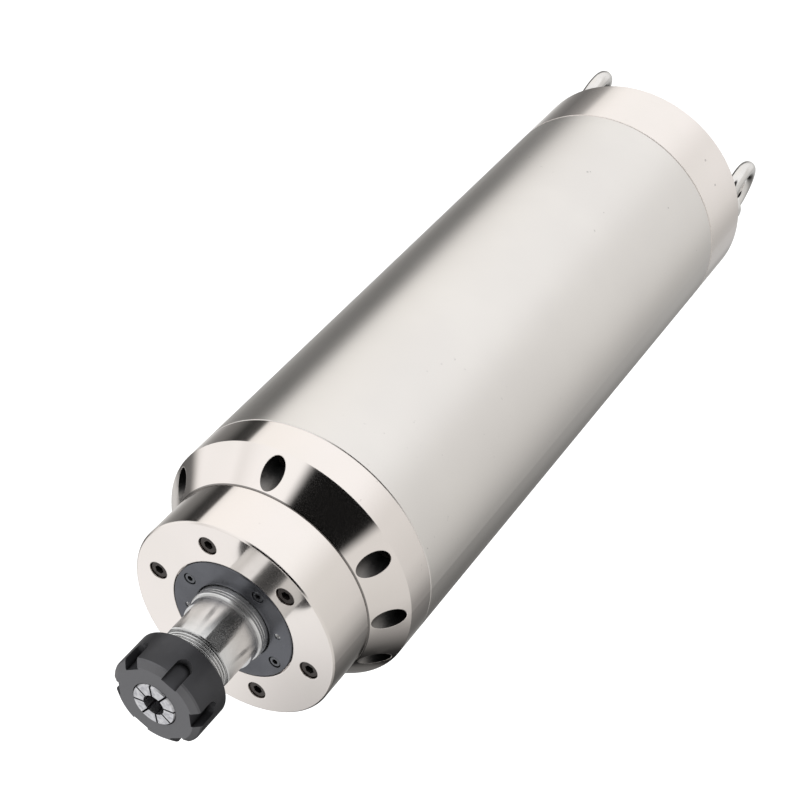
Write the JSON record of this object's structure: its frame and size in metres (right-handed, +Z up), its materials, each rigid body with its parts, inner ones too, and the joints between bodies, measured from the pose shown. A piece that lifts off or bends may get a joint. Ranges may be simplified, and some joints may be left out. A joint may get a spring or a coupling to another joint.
{
  "type": "motor spindle",
  "caption": "Round liquid-cooled electric spindle with a stepped nose, collet and clamping nut, lifting eyes, coolant nozzles and a power inlet at the rear.",
  "frame": {"origin": "on the shaft's axis, at the middle of the body tube that a clamp block holds", "axes": "+Y along the shaft from the nose to the rear end, +Z up as the picture has it, +X to the picture's right"},
  "size_m": [0.125, 0.4816, 0.125],
  "materials": {
    "polished_steel": "polished nickel plating, warm, slightly satin",
    "brushed_steel_tube": "fine satin finish along the tube",
    "ground_steel": "ground bright",
    "dark_cover": "dark grey satin",
    "black_nut": "matt dark oxide",
    "collet_steel": "bright with a fine grain",
    "screw_steel": "dark steel",
    "bright_plating": "bright plating",
    "jacket_aluminium": "machined",
    "housing_steel": "machined",
    "seal_rubber": "matt",
    "laminations": "stacked sheet",
    "windings": "varnished copper wire",
    "rotor_bars": "cast",
    "bearing_steel": "ground and lapped",
    "spacer_steel": "ground",
    "spring_steel": "tempered",
    "cage_resin": "moulded",
    "nozzle_brass": "turned",
    "connector_metal": "satin plated",
    "connector_plastic": "moulded",
    "contact_plating": "plated",
    "lead_sleeve": "silicone sleeve"
  },
  "bodies": {
    "housing": {"nose_flange": "polished_steel", "flange_screws": "screw_steel", "labyrinth_cover": "dark_cover", "cover_screws": "screw_steel", "cover_set_screws": "screw_steel", "front_housing": "polished_steel", "housing_screws": "screw_steel", "jack_screws": "screw_steel", "body_tube": "brushed_steel_tube", "water_jacket": "jacket_aluminium", "jacket_o_rings": "seal_rubber", "stator_core": "laminations", "stator_windings": "windings", "front_outer_rings": "bearing_steel", "front_outer_spacer": "spacer_steel", "rear_housing": "housing_steel", "rear_outer_rings": "bearing_steel", "rear_outer_spacer": "spacer_steel", "preload_springs": "spring_steel", "rear_bearing_cover": "jacket_aluminium", "bearing_cover_screws": "screw_steel", "rear_cap": "polished_steel", "rear_cap_screws": "screw_steel", "eye_bolts": "bright_plating", "coolant_nozzles": "nozzle_brass", "nozzle_seals": "seal_rubber", "connector_shell": "connector_metal", "connector_insert": "connector_plastic", "connector_pins": "contact_plating", "connector_screws": "screw_steel", "power_leads": "lead_sleeve"},
    "rotor": {"shaft": "ground_steel", "slinger_ring": "jacket_aluminium", "front_inner_rings": "bearing_steel", "front_inner_spacer": "spacer_steel", "front_lock_nut": "spacer_steel", "rotor_core": "laminations", "rotor_cage": "rotor_bars", "rear_inner_rings": "bearing_steel", "rear_inner_spacer": "spacer_steel", "rear_lock_nut": "spacer_steel"},
    "front_ball_set_1": {"front_balls_1": "bearing_steel", "front_cage_1": "cage_resin"},
    "front_ball_set_2": {"front_balls_2": "bearing_steel", "front_cage_2": "cage_resin"},
    "rear_ball_set_1": {"rear_balls_1": "bearing_steel", "rear_cage_1": "cage_resin"},
    "rear_ball_set_2": {"rear_balls_2": "bearing_steel", "rear_cage_2": "cage_resin"},
    "collet": {"collet": "collet_steel"},
    "collet_nut": {"collet_nut": "black_nut"}
  },
  "joints": [
    {"name": "rotor_spin", "type": "hinge", "parent": "housing", "child": "rotor", "pos_m": [0, 0, 0], "axis": [0, 1, 0], "continuous": true},
    {"name": "collet_slide", "type": "slide", "parent": "rotor", "child": "collet", "axis": [0, -1, 0], "range_m": [0, 0.0145]},
    {"name": "nut_turn", "type": "hinge", "parent": "collet", "child": "collet_nut", "pos_m": [0, -0.2501, 0], "axis": [0, -1, 0], "range_deg": [0, 3479]},
    {"name": "front_ball_spin_1", "type": "hinge", "parent": "housing", "child": "front_ball_set_1", "pos_m": [0, -0.1681, 0], "axis": [0, 1, 0], "continuous": true},
    {"name": "front_ball_spin_2", "type": "hinge", "parent": "housing", "child": "front_ball_set_2", "pos_m": [0, -0.1481, 0], "axis": [0, 1, 0], "continuous": true},
    {"name": "rear_ball_spin_1", "type": "hinge", "parent": "housing", "child": "rear_ball_set_1", "pos_m": [0, 0.11935, 0], "axis": [0, 1, 0], "continuous": true},
    {"name": "rear_ball_spin_2", "type": "hinge", "parent": "housing", "child": "rear_ball_set_2", "pos_m": [0, 0.13535, 0], "axis": [0, 1, 0], "continuous": true}
  ],
  "couplings": [
    {"joint": "collet_slide", "follows": "nut_turn", "m_per_rad": 0.00023873},
    {"joint": "front_ball_spin_1", "follows": "rotor_spin", "ratio": 0.42033},
    {"joint": "front_ball_spin_2", "follows": "rotor_spin", "ratio": 0.42033},
    {"joint": "rear_ball_spin_1", "follows": "rotor_spin", "ratio": 0.41591},
    {"joint": "rear_ball_spin_2", "follows": "rotor_spin", "ratio": 0.41591}
  ]
}
